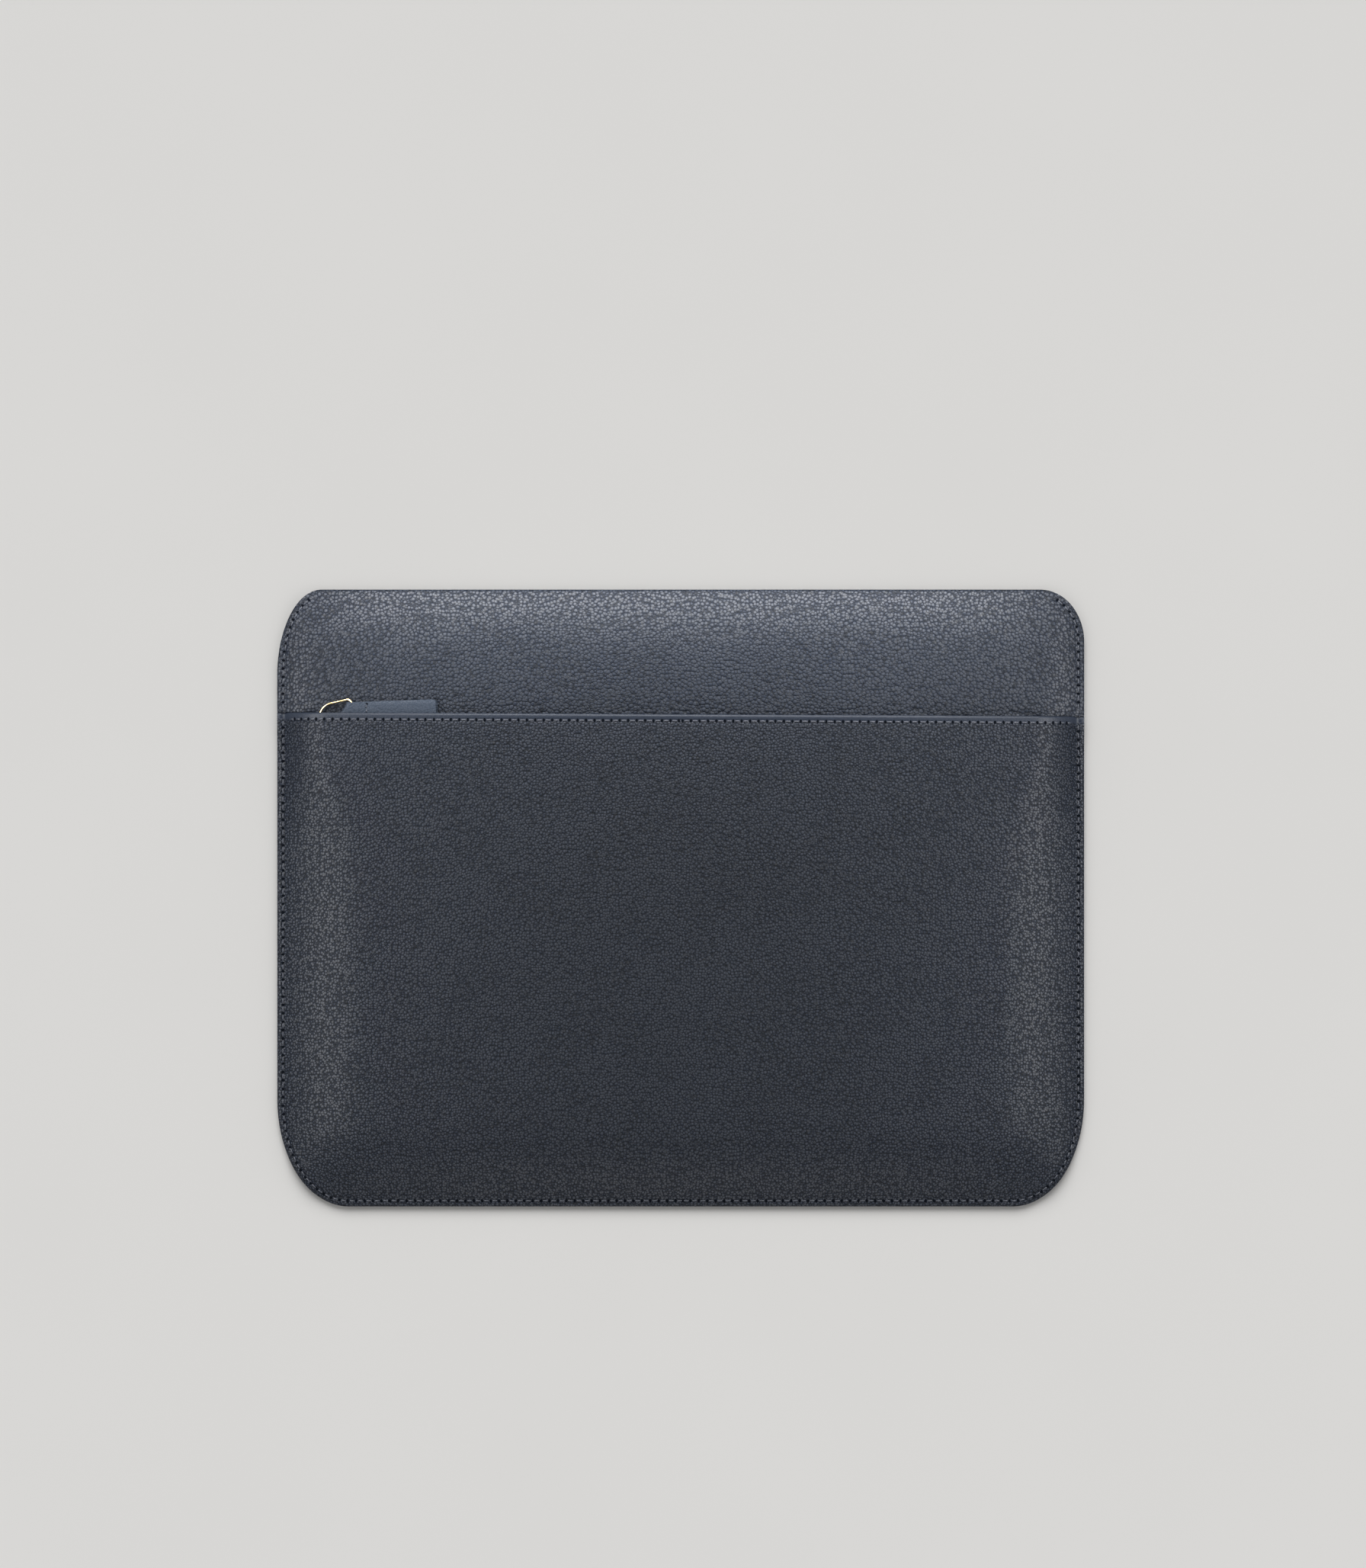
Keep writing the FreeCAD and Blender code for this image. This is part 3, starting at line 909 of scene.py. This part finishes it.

# Zip teeth and stops
# Stamped brass-plated teeth, clamped one by one on the tapes' beads, with a staple at the parked end and two
# small clamps at the other end. The lower row is copied in two halves.


def gold_metal(name, tone, shade, rough):
    """Plated metal with faint polishing marks and a little tarnish in its colour."""
    finish = Finish(name)
    cloud = finish.noise(420.0, 3.0)["Fac"]
    stretched = finish.node("ShaderNodeMapping", {}, {
        "Vector": finish.place, "Scale": (260.0, 2600.0, 2600.0)})["Vector"]
    marks = finish.node("ShaderNodeTexNoise", {}, {"Vector": stretched, "Scale": 1.0, "Detail": 2.0})["Fac"]
    tint = finish.tint(finish.ramp(cloud, 0.35, 0.7), tone, shade)
    return finish.surface({
        "Base Color": tint, "Metallic": 1.0, "Roughness": rough + marks * 0.14,
        "Normal": finish.bump(marks, 0.01 * mm)})


def dress(node, material):
    """Give a CAD node its finish."""
    body = bpy.data.objects[node]
    body.data.materials.clear()
    body.data.materials.append(material)


def bowed_copy(node, side):
    """The part of a CAD node on one side of the middle, as a piece of its own."""
    deselect()
    piece = bpy.data.objects.new(half_name(node + "_bowed", side), bpy.data.objects[node].data.copy())
    bpy.context.collection.objects.link(piece)
    bpy.context.view_layer.objects.active = piece
    piece.select_set(True)
    bpy.ops.object.mode_set(mode="EDIT")
    bpy.ops.mesh.select_all(action="SELECT")
    bpy.ops.mesh.remove_doubles(threshold=1e-6)
    bpy.ops.mesh.select_all(action="DESELECT")
    bpy.ops.object.mode_set(mode="OBJECT")
    for vertex in piece.data.vertices:
        vertex.select = vertex.co.x * side < 0
    bpy.ops.object.mode_set(mode="EDIT")
    bpy.ops.mesh.select_linked()
    bpy.ops.mesh.delete(type="VERT")
    bpy.ops.object.mode_set(mode="OBJECT")
    piece.data.materials.clear()
    piece.data.materials.append(tooth_gold)
    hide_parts(node)
    bow(piece)


tooth_gold = gold_metal("tooth_gold", colour(206, 166, 100), colour(178, 138, 78), 0.26)
for node in ("zip_teeth_upper", "zip_teeth_lower_start", "zip_bottom_stop", "zip_top_stop_upper"):
    dress(node, tooth_gold)
bowed_copy("zip_teeth_lower", -1)
bowed_copy("zip_teeth_lower", 1)
bowed_copy("zip_top_stop_lower", 1)

# Slider and pull ring
# Die-cast slider with a bridge on its top plate, and a bent D-ring of bright gold wire that hangs in the
# bridge and carries the leather tab on its straight bar.
bright_gold = gold_metal("bright_gold", colour(240, 220, 178), colour(222, 186, 124), 0.16)
for node in ("slider_body", "slider_crown", "pull_ring"):
    dress(node, bright_gold)

# Pull tab
# A strip of smooth hide, folded round the ring's bar with a slanted fold, glued over a thin core and sewn
# across behind the bar. Its lower half is tucked into the pocket behind the lip.
tab_low, tab_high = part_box("pull_tab")
tab_tilt = math.radians(2.0)
ring_tilt = math.radians(13.0)
ring_length = 14.5 * mm
tab_breadth = 12.0 * mm
tab_skin = 0.6 * mm
tab_length = 40.8 * mm
tab_slant = 2.5 * mm
tab_fold = -5.8 * mm
tab_round_end = 1.6 * mm
tab_bulge = 2.4 * mm
tab_bulge_fade = 5 * mm
tab_ply_step = 0.7 * mm
tab_edge_droop = 0.22 * mm
tab_edge_share = 0.22
tab_bar_clear = 2.5 * mm
tab_bar_fade = 3 * mm
tab_seam_at = 5.2 * mm
tab_press_depth = 0.16 * mm
tab_press_width = 0.8 * mm
lower_ply_puff = -0.3
upper_ply_puff = 1.0
ply_steps = 26
breadth_steps = 22
tab_fold_steps = 10
core_start = 3.4 * mm
core_end_gap = 1.0 * mm
core_side_gap = 0.15 * mm
core_floor_gap = 0.02 * mm
core_roof_gap = 0.24 * mm
core_steps = 20
core_columns = 10
crown_low, crown_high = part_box("slider_crown")
slider_x = (crown_low[0] + crown_high[0]) / 2
zip_y = (crown_low[1] + crown_high[1]) / 2
tab_pivot = Vector((
    slider_x + ring_length * math.cos(ring_tilt), zip_y + ring_length * math.sin(ring_tilt), 0))


def tab_place(along, across, z):
    """Point of the tab, from its own length and breadth to the sleeve's frame."""
    turn = Matrix.Rotation(tab_tilt, 3, "Z")
    return turn @ Vector((along, across, 0)) + tab_pivot + Vector((0, 0, z))


def tab_half_breadth(along):
    """Half breadth, drawn in at the rounded far corners."""
    into = along - (tab_fold + tab_length - tab_round_end)
    if into <= 0:
        return tab_breadth / 2
    return tab_breadth / 2 - tab_round_end + math.sqrt(max(tab_round_end ** 2 - into ** 2, 0))


def tab_fold_at(across):
    """Place of the fold along the tab: slanted, and bulged towards the slider in the middle."""
    from_edge = across + tab_breadth / 2
    bulge = tab_bulge * (1 - smooth(across / tab_bulge_fade)) * smooth(from_edge / tab_bulge_fade)
    return tab_fold + tab_slant * from_edge / tab_breadth - bulge


def tab_rows():
    """Outer side of the folded strip: along the lower ply, round the fold and back along the upper ply."""
    bottom, top = tab_low[2], tab_high[2]
    radius = (top - bottom) / 2
    shares = [(1 - math.cos(math.pi * step / ply_steps)) / 2 for step in range(ply_steps + 1)]
    breadths = [-math.cos(math.pi * step / breadth_steps) for step in range(breadth_steps + 1)]
    lower_end = tab_fold + tab_length
    upper_end = lower_end - tab_ply_step
    rows = []

    def ply(end, level, puff):
        made = []
        for share in shares:
            row = []
            for breadth in breadths:
                start = tab_fold_at(breadth * tab_breadth / 2) + radius
                along = start + (end - start) * share
                across = breadth * tab_half_breadth(along + lower_end - end)
                past_bar = smooth((along - tab_bar_clear) / tab_bar_fade)
                near_edge = smooth((abs(breadth) - 1 + tab_edge_share) / tab_edge_share)
                edge = tab_edge_droop * near_edge * past_bar
                pressed = tab_press_depth * exp_bell(along - tab_seam_at, tab_press_width)
                row.append(tab_place(along, across, level - puff * (edge + pressed)))
            made.append(row)
        return made

    rows += ply(lower_end, bottom, lower_ply_puff)[::-1]
    for step in range(1, tab_fold_steps):
        turn = math.radians(-90 - 180 * step / tab_fold_steps)
        row = []
        for breadth in breadths:
            across = breadth * tab_breadth / 2
            along = tab_fold_at(across) + radius + radius * math.cos(turn)
            row.append(tab_place(along, across, bottom + radius + radius * math.sin(turn)))
        rows.append(row)
    rows += ply(upper_end, top, upper_ply_puff)
    return [row[::-1] for row in rows]


def tab_core():
    """Stiffener between the plies, a little smaller than they are, so that the edge shows as a fine line."""
    bottom = tab_low[2] + tab_skin + core_floor_gap
    top = tab_high[2] - tab_skin - core_roof_gap
    core_length = tab_fold + tab_length - core_end_gap - core_start
    shares = [1 - 2 * column / core_columns for column in range(core_columns + 1)]
    rows = []
    for step in range(core_steps + 1):
        along = core_start + core_length * step / core_steps
        half = tab_half_breadth(along) - core_side_gap
        rows.append([tab_place(along, half * share, top) for share in shares])
    piece = grid_piece("tab_core", rows, top - bottom)
    piece.data.materials.append(tab_hide)
    return piece


# The tab gets less painted crease shade than the outer hide.
tab_hide = milled_leather(
    "tab_smooth_hide", grain=0.8 * mm, depth=0.12 * mm, tone=colour(29, 35, 44), shade=colour(35, 41, 50),
    crease_shade_amount=0.2, sheen=0.3)
tab_strip = grid_piece("tab_strip", tab_rows(), tab_skin)
tab_strip.data.materials.append(tab_hide)
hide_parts("pull_tab")
for piece in (tab_strip, tab_core()):
    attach(piece, "tab")

# Sewing thread
# Waxed navy thread, one stitch every three and a half millimetres: round the sides and bottom, up the sides
# of the hood, along the lip and, closer together, across the tab. One stitch is copied along each seam.
stitch_pitch = 3.54 * mm
stitch_length = 2.6 * mm
thread = 0.7 * mm
thread_lift = 0.2 * mm
stitch_cuts = (-0.36, -0.2, 0.2, 0.36)
stitch_taper = 0.45
stitch_dive = 0.5 * mm
hole_radius = 0.45 * mm
hole_stretch = (1.1, 1.7)
hole_lift = 0.02 * mm
hole_rim = 0.12 * mm
hole_depth = 0.05 * mm
side_seam_steps = 60
corner_seam_steps = 30
lip_seam_steps = 80
hood_seam_steps = 40
seam_end_gap = 1.5 * mm
fold_end_gap = 5 * mm
tab_pitch = 2.0 * mm
tab_stitch = 1.5 * mm
tab_seam_half = 5 * mm
tab_seam_sink = 0.1 * mm


def waxed_thread():
    finish = Finish("waxed_navy_thread")
    twist = finish.noise(3000.0, 2.0)["Fac"]
    tone = finish.tint(twist, colour(12, 16, 25), colour(22, 27, 38))
    return finish.surface({
        "Base Color": tone, "Roughness": 0.6 - twist * 0.15, "Normal": finish.bump(twist, 0.05 * mm)})


# Near-black painted shade standing in for the shadow inside each needle hole.
def hole_shade():
    finish = Finish("needle_hole_shade")
    fray = finish.noise(4000.0, 1.0)["Fac"]
    tone = finish.tint(fray, colour(3, 4, 6), colour(8, 10, 14))
    return finish.surface({"Base Color": tone, "Roughness": 1.0, "Specular IOR Level": 0.0})


def needle_hole():
    """Shallow dent between two stitches, where the thread dives into the leather, coloured near-black as
    painted shade.
    """
    deselect()
    bpy.ops.mesh.primitive_circle_add(vertices=10, radius=hole_radius, fill_type="NGON")
    piece = bpy.context.object
    for vertex in piece.data.vertices:
        vertex.co.x *= hole_stretch[0]
        vertex.co.y *= hole_stretch[1]
        vertex.co.z = hole_lift
    bpy.ops.object.mode_set(mode="EDIT")
    bpy.ops.mesh.select_all(action="SELECT")
    bpy.ops.mesh.inset(thickness=hole_rim, depth=-hole_depth)
    bpy.ops.object.mode_set(mode="OBJECT")
    piece.data.materials.append(hole_finish)
    return piece


def stitch_mesh(length):
    """One stitch along X: a short round thread that arches up and dives into its holes."""
    deselect()
    bpy.ops.mesh.primitive_cylinder_add(
        vertices=8, radius=thread / 2, depth=length, rotation=(0, math.pi / 2, 0))
    piece = bpy.context.object
    bpy.ops.object.transform_apply(rotation=True)
    bpy.ops.object.mode_set(mode="EDIT")
    for cut in stitch_cuts:
        bpy.ops.mesh.select_all(action="SELECT")
        bpy.ops.mesh.bisect(plane_co=(cut * length, 0, 0), plane_no=(1, 0, 0))
    bpy.ops.object.mode_set(mode="OBJECT")
    for vertex in piece.data.vertices:
        share = abs(vertex.co.x) / (length / 2)
        shrink = 1 - stitch_taper * share ** 3
        vertex.co.y *= shrink
        vertex.co.z = vertex.co.z * shrink - stitch_dive * share ** 2
    bpy.ops.object.shade_smooth()
    piece.data.materials.append(thread_finish)
    return piece


def copied(pattern, place):
    """Copy of a small pattern with its own mesh, carried to its place."""
    made = bpy.data.objects.new(pattern.name, pattern.data.copy())
    made.data.transform(place)
    bpy.context.collection.objects.link(made)
    return made


def along_line(points, pitch):
    """Places one pitch apart along a line of points, each with the line's heading."""
    places = []
    left = pitch / 2
    for start, end in zip(points[:-1], points[1:]):
        run = end - start
        while left <= run.length:
            places.append((start + run * (left / run.length), run.normalized()))
            left += pitch
        left -= run.length
    return places


def sew(name, lines, pitch=stitch_pitch, length=stitch_length):
    """Thread piece: stitches copied along each line of points, which lie on the leather, then joined."""
    stitch = stitch_mesh(length)
    hole = needle_hole()
    made = []
    for points in lines:
        for place, heading in along_line(points, pitch):
            side = Vector((0, 0, 1)).cross(heading).normalized()
            turn = Matrix((heading, side, heading.cross(side))).transposed().to_4x4()
            made.append(copied(stitch, Matrix.Translation(place) @ turn))
            made.append(copied(hole, Matrix.Translation(place + heading * pitch / 2) @ turn))
    bpy.data.objects.remove(stitch)
    bpy.data.objects.remove(hole)
    deselect()
    for part in made:
        part.select_set(True)
    bpy.context.view_layer.objects.active = made[0]
    bpy.ops.object.join()
    piece = bpy.context.object
    piece.name = name
    return piece


def seam_point(x, y, height):
    return Vector((x, y, height(x, y) + thread_lift))


def perimeter_line(side):
    """Seam from the lip down one side, round the corner and along half of the bottom."""
    points = []
    start = lip_at(side * half_width) - lip_band
    foot = bottom_edge + bottom_corner[1]
    for step in range(side_seam_steps + 1):
        y = start + (foot - start) * step / side_seam_steps
        points.append(seam_point(side * (half_width - seam_inset), y, front_height))
    straight = half_width - bottom_corner[0]
    for step in range(1, corner_seam_steps + 1):
        turn = math.radians(90 * step / corner_seam_steps)
        across = straight + (bottom_corner[0] - seam_inset) * math.cos(turn)
        y = foot - (bottom_corner[1] - seam_inset) * math.sin(turn)
        points.append(seam_point(side * across, y, front_height))
    for step in range(1, side_seam_steps + 1):
        x = side * straight * (1 - step / side_seam_steps)
        points.append(seam_point(x, bottom_edge + seam_inset, front_height))
    return points


def lip_line(side):
    """Seam under the lip's smooth band, from one side to the middle."""
    points = []
    for step in range(lip_seam_steps + 1):
        x = side * (half_width - border - seam_end_gap) * (1 - step / lip_seam_steps)
        points.append(seam_point(x, lip_at(x) - lip_band, front_height))
    return points


def hood_line(side):
    """Seam up one side of the hood, to where the hide turns over the top."""
    points = []
    for step in range(hood_seam_steps + 1):
        y = hood_seam_y + seam_end_gap + (fold_y - fold_end_gap - hood_seam_y) * step / hood_seam_steps
        x = side * side_limit(y, side, seam_inset)
        points.append(seam_point(x, y, hood_height))
    return points


thread_finish = waxed_thread()
hole_finish = hole_shade()
for half in (-1, 1):
    bow(sew(half_name("front_thread", half), [perimeter_line(half), lip_line(half)]))
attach(sew("hood_thread", [hood_line(-1), hood_line(1)]), "root")
tab_seam_ends = (-tab_seam_half, tab_seam_half)
tab_seam = [tab_place(tab_seam_at, across, tab_high[2] - tab_seam_sink) for across in tab_seam_ends]
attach(sew("tab_thread", [tab_seam], tab_pitch, tab_stitch), "tab")
